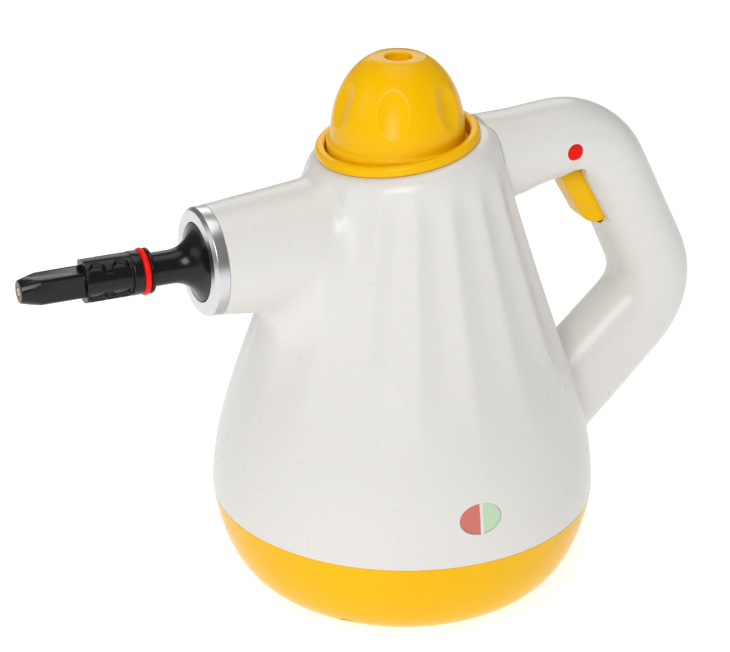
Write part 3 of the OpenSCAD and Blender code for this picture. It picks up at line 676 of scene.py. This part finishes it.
def build_handle():
    handle = handle_loft("handle_skin", 0)
    hollow = handle_loft("handle_hollow", WALL)
    for place in SCREWS:
        cut(hollow, cross_rod("boss", BOSS_R, place, -20, 20))
    cut(hollow, cap_rod("cap_wall", RING_OUT + WALL, 128))
    cut(handle, hollow)
    blank = duplicate(whole_body, "blank")
    grown(blank, BODY_GAP)
    cut(handle, blank)
    cut(handle, cap_rod("cap_room", RING_OUT + CAP_GAP, 128))
    slot_half = TRIGGER_HALF + TRIGGER_GAP
    cut(handle, prism("slot", fillet(SLOT, 1.5), -slot_half, slot_half))
    cut(handle, prism("window", fillet(WINDOW, 0.8), -20, 20))
    cut(handle, cross_rod("button_hole", BUTTON_R + BUTTON_GAP, BUTTON, -30, 30, 72))
    for place in SCREWS:
        cut(handle, cross_rod("counterbore", COUNTERBORE_R, place, 9, 30, 48))
        cut(handle, cross_rod("screw_hole", SCREW_R, place, -8, 30, 32))
    other = duplicate(handle, "handle_skin_right")
    handle.name = "handle_skin_left"
    cut(handle, cuboid("far_side", (0, SPLIT_Y, 0), (200, 60, 250)))
    cut(other, cuboid("near_side", (0, -60, 0), (200, SPLIT_Y, 250)))
    for half, node in ((handle, "handle_left"), (other, "handle_right")):
        shade(half, 38)
        dress(half, "housing", "white_plastic", node)


# ---------- bowl, foot and seam ----------

BASE_CURVE = bezier([(50, FLOOR_GAP), (68.5, 3), (73.2, 27), (BODY_R, SEAM_Z)], 60)
FOOT_R = 46.3
BASE_SCREW_CIRCLE = 60
BASE_WELL_R = 3.2
STANDOFF_CIRCLE = 37.5
STANDOFF_WELL_R = 4
STANDOFF_HOLE_R = 1.9
GLAND_Z = 24
GLAND_R = 6.5
GLAND_BORE_R = 3.6
GLAND_GAP = 0.15


def inset_curve(curve, d):
    """Curve moved to its left by d."""
    t = np.gradient(curve, axis=0)
    t /= np.linalg.norm(t, axis=1)[:, None]
    return curve + d * np.stack([-t[:, 1], t[:, 0]], 1)


def circle(radius, count, first):
    """count points round the upright axis, from an angle in degrees."""
    for k in range(count):
        a = math.radians(first + 360 / count * k)
        yield radius * math.cos(a), radius * math.sin(a)


def build_bowl():
    inner = inset_curve(BASE_CURVE, WALL)
    lip = [(BODY_R - 0.03, SEAM_Z - 0.25), (BODY_R - 0.3, SEAM_Z), (BODY_R - WALL, SEAM_Z)]
    outline = [(0, FLOOR_GAP), (FOOT_R, FLOOR_GAP)] + BASE_CURVE[:-1].tolist() + lip
    outline += inner[-2:2:-1].tolist() + [(0, FLOOR_GAP + WALL)]
    bowl = lathe("base_skin", outline, segments=288, smooth_angle=40)
    for x, y in circle(BASE_SCREW_CIRCLE, 4, 45):
        cut(bowl, rod("screw_well", BASE_WELL_R, (x, y, -1), (x, y, 12), 40))
    for x, y in circle(STANDOFF_CIRCLE, 3, 90):
        cut(bowl, rod("standoff_well", STANDOFF_WELL_R, (x, y, -1), (x, y, 1.9), 40))
        cut(bowl, rod("standoff_hole", STANDOFF_HOLE_R, (x, y, -1), (x, y, 8), 32))
    cut(bowl, rod("gland_hole", GLAND_R + GLAND_GAP, (50, 0, GLAND_Z), (90, 0, GLAND_Z), 64))
    shade(bowl, 40)
    dress(bowl, "housing", "yellow_plastic", "base_bowl")


# ---------- filler ring and cap ----------

TILT_AXIS = (-math.sin(RING_TILT), 0, math.cos(RING_TILT))


def build_ring():
    h = RING_H / 2
    corners = [(RING_IN, -h), (RING_OUT, -h), (RING_OUT, h), (RING_IN, h)]
    outline = fillet(corners, [0.3, 0.7, 1.65, 1.2], 8)
    ring = lathe("ring_skin", outline, (CAP_X, 0, RING_Z), TILT_AXIS, 256)
    dress(ring, "housing", "yellow_plastic", "trim_ring")


DOME_R = 25.2
DOME_BASE = 184                             # height where the dome rises from its bead
DOME_CURVE = bezier([(DOME_R, DOME_BASE), (DOME_R, 196), (19.5, 209), (10, CAP_TOP)], 90)
DOME_FOOT = 176.4
DOME_WALL = 3.2
HOLE_R = 4.9
HOLE_DEPTH = 6
CEILING = CAP_TOP - 9                       # height of the dome's ceiling inside
BEAD_R = (dome_high[0] - dome_low[0]) / 2
DIMPLES = 6
DIMPLE_AT = (22.35, 199.2)                  # radius and height of a dimple's centre
DIMPLE_LEAN = math.radians(19)
DIMPLE_DEPTH = 1.9
DIMPLE_ACROSS = 17.0                        # radius of the hollow across the slope
DIMPLE_ALONG = 60.0                         # and along it
DIMPLE_ROUND = 0.25                         # rounding of a dimple's edge


def dome_value(x, y, z):
    """Signed distance, roughly, to the dome with its finger hollows, about the cap's own axis."""
    rho = np.hypot(x, y)
    radius = np.interp(z, DOME_CURVE[:, 1], DOME_CURVE[:, 0])
    slope = np.interp(z, DOME_CURVE[:, 1], np.gradient(DOME_CURVE[:, 0], DOME_CURVE[:, 1]))
    value = (rho - radius) / np.sqrt(1 + slope ** 2)
    pitch = 2 * math.pi / DIMPLES
    angle = np.mod(np.arctan2(y, x) + pitch / 2, pitch) - pitch / 2
    out, across = rho * np.cos(angle) - DIMPLE_AT[0], rho * np.sin(angle)
    up = z - DIMPLE_AT[1]
    w = out * math.cos(DIMPLE_LEAN) + up * math.sin(DIMPLE_LEAN)
    u = -out * math.sin(DIMPLE_LEAN) + up * math.cos(DIMPLE_LEAN)
    hollow = w + DIMPLE_DEPTH - across ** 2 / (2 * DIMPLE_ACROSS) - u ** 2 / (2 * DIMPLE_ALONG)
    return -smooth_min(-value, -hollow, DIMPLE_ROUND)


def build_dome():
    foot = fillet([(22.4, DOME_FOOT), (BEAD_R, DOME_FOOT), (BEAD_R, 181.6), (DOME_R + 0.1, 182.4),
                   (DOME_R, DOME_BASE)], [0.2, 0.7, 0.7, 0.4, 0], 5)
    bottom = CAP_TOP - HOLE_DEPTH
    hole = fillet([(10.05, CAP_TOP), (HOLE_R, CAP_TOP), (HOLE_R, bottom), (0, bottom)], [0, 0.8, 0.5, 0], 6)
    inner = inset_curve(DOME_CURVE, DOME_WALL)
    inner = inner[inner[:, 1] < CEILING]
    ceiling = [(0, CEILING), (inner[-1][0] - 3, CEILING)]
    outline = np.concatenate([foot, DOME_CURVE[1:-1], hole, ceiling, inner[::-6], [(22, 181)]])
    segments = 384
    dome = lathe("cap_skin", outline, segments=segments)
    points = np.array([v.co for v in dome.data.vertices]) / MM
    first = len(foot) * segments
    last = first + (len(DOME_CURVE) - 2) * segments
    points[first:last] = project(points[first:last], dome_value)
    points[:, 0] += CAP_X
    dome.data.vertices.foreach_set("co", (points * MM).ravel())
    outward(dome)
    shade(dome, 35)
    dress(dome, "cap", "yellow_plastic", "cap_dome")


# ---------- spout end and nozzle ----------

def turned(name, outline, segments=128, smooth_angle=35):
    """Lathe piece on the spout's axis. outline holds [radius, distance forward of the body's axis]."""
    return lathe(name, outline, (0, 0, SPOUT_Z), (-1, 0, 0), segments, smooth_angle)


RING_FRONT = -ring_low[0]
CHROME_R = 20.4
CHROME_BORE_R = 14.8
CHROME_BACK = 79
FLARE_R = 14.6                              # the funnel's rim, inside the chrome ring
BORE_R = 2.3                                # the steam's way through the nozzle
CORE_R = 6.3
FLANGE_R = 8.5
SPIGOT_R = 8.2
SPIGOT_END = 111
CORE_END = 128.3
RAIL_R = 8.1
RAIL_ROOT_R = 5.8
RAIL_HALF = 5.4                             # half width of a rail
BITE_R = 3.1                                # round bites in a rail's sides, and where they are
BITE_X = (-115.2, -124.2)
BITE_Y = 5.7
NOTCH_X = (-121, -118.4)
NOTCH_DEPTH = 1.2


def build_chrome():
    outline = fillet([(CHROME_BORE_R, CHROME_BACK), (CHROME_R, CHROME_BACK), (CHROME_R, RING_FRONT - 1.3),
                      (19.2, RING_FRONT), (CHROME_BORE_R + 0.3, RING_FRONT),
                      (CHROME_BORE_R, RING_FRONT - 0.3)], [0.2, 0.4, 0.5, 0.35, 0.2, 0.1], 6)
    dress(turned("chrome_skin", outline, 224), "housing", "chrome", "chrome_ring")


def build_funnel():
    flare = bezier([(FLARE_R, RING_FRONT), (9.5, RING_FRONT + 1.6), (CORE_R, 89.9), (CORE_R, 95.4)], 40)
    back = fillet([(BORE_R, 67), (10, 67), (10, 74), (18.15, 74), (18.15, 78.9), (FLARE_R, 78.9)],
                  [0.2, 0.4, 1.2, 0.4, 0.3, 0.3])
    outline = np.concatenate([back, flare, [(CORE_R, 102.6), (5.95, 103), (BORE_R, 103)]])
    dress(turned("funnel_skin", outline, 144), "housing", "black_plastic", "nozzle_funnel")


def build_connector():
    outline = fillet([(BORE_R, 103.1), (FLANGE_R, 103.1), (FLANGE_R, 104.4), (6.2, 104.4), (6.2, 107.2),
                      (SPIGOT_R, 107.2), (SPIGOT_R, SPIGOT_END), (CORE_R, SPIGOT_END), (CORE_R, CORE_END),
                      (BORE_R, CORE_END)], [0.1, 0.35, 0.25, 0.2, 0.2, 0.35, 0.5, 0.3, 0.5, 0.1], 4)
    core = turned("connector_skin", outline)
    back, front = SPIGOT_END - 0.2, CORE_END + 0.1
    for side in (1, -1):
        band = [(RAIL_ROOT_R, back), (RAIL_R, back), (RAIL_R, front), (RAIL_ROOT_R, front)]
        rail = turned("rail", band, 160)
        low, high = sorted((SPOUT_Z, SPOUT_Z + side * 12))
        cut(rail, cuboid("rail_width", (-140, -RAIL_HALF, low), (-100, RAIL_HALF, high)), mode="INTERSECT")
        low, high = sorted((SPOUT_Z + side * 3, SPOUT_Z + side * 14))
        for x in BITE_X:
            for y in (-BITE_Y, BITE_Y):
                cut(rail, rod("bite", BITE_R, (x, y, low), (x, y, high), 40))
        low, high = sorted((SPOUT_Z + side * 4, SPOUT_Z + side * 14))
        for y in (-RAIL_HALF, RAIL_HALF):
            cut(rail, cuboid("notch", (NOTCH_X[0], y - NOTCH_DEPTH, low),
                             (NOTCH_X[1], y + NOTCH_DEPTH, high)))
        bevel(rail, 0.28, 3, 40)
        cut(core, rail, mode="UNION")
    shade(core, 35)
    dress(core, "housing", "black_plastic", "bayonet_connector")


ORING_R = 7.55                              # the ring's own radius and its section's
ORING_CORD_R = 1.25


def build_oring():
    t = np.arange(28) * 2 * math.pi / 28
    middle = -(oring_low[0] + oring_high[0]) / 2
    outline = np.stack([ORING_R + ORING_CORD_R * np.cos(t), middle + ORING_CORD_R * np.sin(t)], 1)
    dress(turned("oring_skin", outline, 144), "housing", "red_rubber", "nozzle_oring")


def build_tip():
    end = -tip_low[0]
    half = tip_high[1]
    tip = turned("tip_skin", fillet([(1.75, 128.5), (6.35, 128.5), (6.2, 145), (4.2, end), (1.75, end)],
                                    [0.1, 0.4, 1.5, 0.45, 0.15], 5), 192)
    square = fillet([(-half, SPOUT_Z - half), (half, SPOUT_Z - half), (half, SPOUT_Z + half),
                     (-half, SPOUT_Z + half)], 0.9, 4)
    cut(tip, prism("square", square, -160, -120, "YZ"), mode="INTERSECT")
    bevel(tip, 0.22, 2, 32)
    shade(tip, 30)
    dress(tip, "housing", "black_plastic", "nozzle_tip")


# ---------- trigger and lock ----------

TRIGGER = [(68.4, 171.5), (62.3, 160.2), (63.5, 157.5), (74.5, 138.9), (76.5, 136.9), (79.2, 135.9),
           (84.2, 135.8), (86.2, 136.8), (75.6, 157.9), (77.3, 171.5)]
TRIGGER_RADII = [2.5, 1.5, 2.5, 6, 2.5, 2.5, 2.0, 1.0, 1.0, 2.5]
PIN = (73, 172)                             # the trigger's pin, x and z
PIN_HOLE_R = 2.2
LINK_SLOT = (2.3, 3.1)                      # half width and half height of the rod's slot in the trigger


def build_trigger():
    trigger = prism("trigger_skin", fillet(TRIGGER, TRIGGER_RADII, 8), -TRIGGER_HALF, TRIGGER_HALF)
    bevel(trigger, 0.7, 4, 40)
    cut(trigger, cross_rod("pin_hole", PIN_HOLE_R, PIN, -20, 20, 48))
    half_width, half_height = LINK_SLOT
    cut(trigger, cuboid("link_slot", (50, -half_width, LINK_Z - half_height),
                        (90, half_width, LINK_Z + half_height)))
    weighted(trigger, 40)
    dress(trigger, "trigger", "yellow_plastic", "trigger")


def build_button():
    low, high = button_low[1], button_high[1]
    outline = fillet([(0, low), (1.6, low), (BUTTON_R, low + 0.12), (BUTTON_R, -9.6), (2.2, -9.6), (2.2, 13),
                      (BUTTON_R, 13), (BUTTON_R, high - 0.2), (1.6, high), (0, high)],
                     [0, 2, 0.35, 0.2, 0.2, 0.2, 0.2, 0.6, 2, 0], 5)
    button = lathe("lock_skin", outline, (BUTTON[0], 0, BUTTON[1]), (0, 1, 0), 96)
    dress(button, "lock", "red_button", "lock_button")


# ---------- lamp window ----------

SPLIT = (-2.65, -1.35)                      # x of the white bar between the two lenses
LENS_GAP = 0.06                             # between a lens and the bar
LENS_SINK = 0.3                             # how far the lenses lie under the body's surface


def body_slab(name, deep, proud):
    """Lathe shell that follows the body's outside near the lamp window."""
    rows = np.linspace(45, 67, 34)
    outer = np.stack([body_radius(rows) + proud, rows], 1)
    inner = np.stack([body_radius(rows) - deep, rows], 1)
    return lathe(name, np.concatenate([outer, inner[::-1]]), segments=512, smooth_angle=30)


def clipped(points, low, high):
    """Part of a convex outline between two values of its first coordinate."""
    for sign, limit in ((1, low), (-1, -high)):
        out = []
        for i, q in enumerate(points):
            p = points[i - 1]
            a, b = sign * p[0] - limit, sign * q[0] - limit
            if (a < 0) != (b < 0):
                out.append(p + (q - p) * (a / (a - b)))
            if b >= 0:
                out.append(q)
        points = out
    return np.array(points)


def build_lamp():
    for color, low, high in (("red", -40, SPLIT[0]), ("green", SPLIT[1], 40)):
        outline = clipped(oval(-0.16), low + LENS_GAP, high - LENS_GAP)
        lens = prism(f"lens_{color}_skin", outline, -90, -55)
        cut(lens, body_slab("slab", WALL, -LENS_SINK), mode="INTERSECT")
        bevel(lens, 0.3, 3, 45)
        shade(lens, 40)
        dress(lens, "housing", f"{color}_lens", f"lamp_lens_{color}")
    bar = prism("lamp_bar", clipped(oval(0.1), *SPLIT), -90, -55)
    cut(bar, body_slab("slab", WALL, -0.02), mode="INTERSECT")
    bevel(bar, 0.15, 2, 45)
    shade(bar, 40)
    dress(bar, "housing", "white_plastic")


# ---------- springs ----------

def build_spring(name, body, axis, moving_high):
    """A steel copy of the CAD coil, on its body. It keeps the CAD shape and does not shorten; the anchor end
    worked out here is not used.
    """
    low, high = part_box(name)
    way = next(k for k in range(3) if axis[k])
    anchor = [(low[k] + high[k]) / 2 for k in range(3)]
    anchor[way] = (low if moving_high else high)[way]
    spring = bpy.data.objects.new(f"{name}_coil", nodes[name].data.copy())
    bpy.context.scene.collection.objects.link(spring)
    dress(spring, body, "steel", name)
    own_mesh(spring)


# ---------- cord gland ----------

def build_gland():
    outline = fillet([(GLAND_BORE_R, 63), (8.2, 63), (8.2, 65.4), (GLAND_R, 65.4), (GLAND_R, 76), (7.6, 76),
                      (7.6, 79.5), (GLAND_BORE_R, 79.5)], [0.2, 0.3, 0.3, 0.2, 0.2, 0.5, 0.8, 0.6], 4)
    gland = lathe("gland_skin", outline, (0, 0, GLAND_Z), (1, 0, 0), 96)
    dress(gland, "housing", "black_rubber", "cord_gland")


build_body()
build_handle()
bpy.data.objects.remove(whole_body)
build_bowl()
build_ring()
build_dome()
build_chrome()
build_funnel()
build_connector()
build_oring()
build_tip()
build_trigger()
build_button()
build_lamp()
build_gland()
build_spring("cap_spring", "cap", (0, 0, 1), False)
build_spring("relief_spring", "cap_plug", (0, 0, 1), False)
build_spring("valve_spring", "valve_link", (1, 0, 0), True)

for name, obj in nodes.items():
    if obj.hide_render:
        continue
    for k, old in enumerate(obj.data.materials):
        obj.data.materials[k] = MATERIALS[old.name.split(".")[0]]


# ---------- camera, light and floor ----------

VIEW_AZIMUTH = math.radians(-24.61)
VIEW_ELEVATION = math.radians(24.47)
VIEW_ROLL = math.radians(0.33)
AIM = Vector((-16.5, 0, 106.5)) * MM
DISTANCE = 924 * MM
LENS, SENSOR = 118.7, 36                    # focal length and film width
FLOOR_HALF = 6.0                            # metres
FLOOR_TONE = 0.5
FLOOR_GLOW = 0.78                           # lifts the floor to the photo's plain white
WORLD_GLOW = 0.20
LIT_POINT = Vector((0, 0, 0.1))
# Area lights: name, place, width and height in metres, power in watts
LIGHTS = [
    ("key", (-0.75, -1.1, 1.15), (0.7, 0.9), 15),
    ("left", (-1.4, 0.1, 0.8), (0.7, 0.9), 2.2),
    ("right", (1.3, -0.7, 0.6), (0.5, 1.1), 1.2),
    ("top", (0.1, 0.2, 1.6), (1.0, 1.0), 5),
    ("back", (0.5, 1.4, 0.9), (1.0, 0.8), 4),
]


def aim_at(obj, target):
    obj.rotation_euler = (target - obj.location).to_track_quat("-Z", "Y").to_euler()


def make_camera():
    back = Vector((
        math.sin(VIEW_AZIMUTH) * math.cos(VIEW_ELEVATION),
        -math.cos(VIEW_AZIMUTH) * math.cos(VIEW_ELEVATION),
        math.sin(VIEW_ELEVATION),
    ))
    data = bpy.data.cameras.new("camera")
    data.lens = LENS
    data.sensor_width = SENSOR
    camera = bpy.data.objects.new("camera", data)
    bpy.context.scene.collection.objects.link(camera)
    camera.location = AIM + back * DISTANCE
    aim_at(camera, AIM)
    camera.rotation_euler.rotate_axis("Z", VIEW_ROLL)
    bpy.context.scene.camera = camera


def make_floor():
    mesh = bpy.data.meshes.new("floor")
    s = FLOOR_HALF
    mesh.from_pydata([(-s, -s, 0), (s, -s, 0), (s, s, 0), (-s, s, 0)], [], [(0, 1, 2, 3)])
    floor = bpy.data.objects.new("floor", mesh)
    bpy.context.scene.collection.objects.link(floor)
    mat = bpy.data.materials.new("floor")
    mat.use_nodes = True
    shader = mat.node_tree.nodes["Principled BSDF"]
    shader.inputs["Base Color"].default_value = (FLOOR_TONE, FLOOR_TONE, FLOOR_TONE, 1)
    shader.inputs["Roughness"].default_value = 0.9
    shader.inputs["Emission Color"].default_value = (1, 1, 1, 1)
    shader.inputs["Emission Strength"].default_value = FLOOR_GLOW
    mesh.materials.append(mat)


def make_light(name, place, size, power):
    data = bpy.data.lights.new(name, "AREA")
    data.shape = "RECTANGLE"
    data.size, data.size_y = size
    data.energy = power
    light = bpy.data.objects.new(name, data)
    bpy.context.scene.collection.objects.link(light)
    light.location = place
    aim_at(light, LIT_POINT)


def make_world():
    world = bpy.data.worlds.new("studio")
    world.use_nodes = True
    background = world.node_tree.nodes["Background"]
    background.inputs["Color"].default_value = (1, 1, 1, 1)
    background.inputs["Strength"].default_value = WORLD_GLOW
    bpy.context.scene.world = world


make_camera()
make_floor()
make_world()
for light in LIGHTS:
    make_light(*light)
bpy.context.scene.view_settings.view_transform = "Standard"
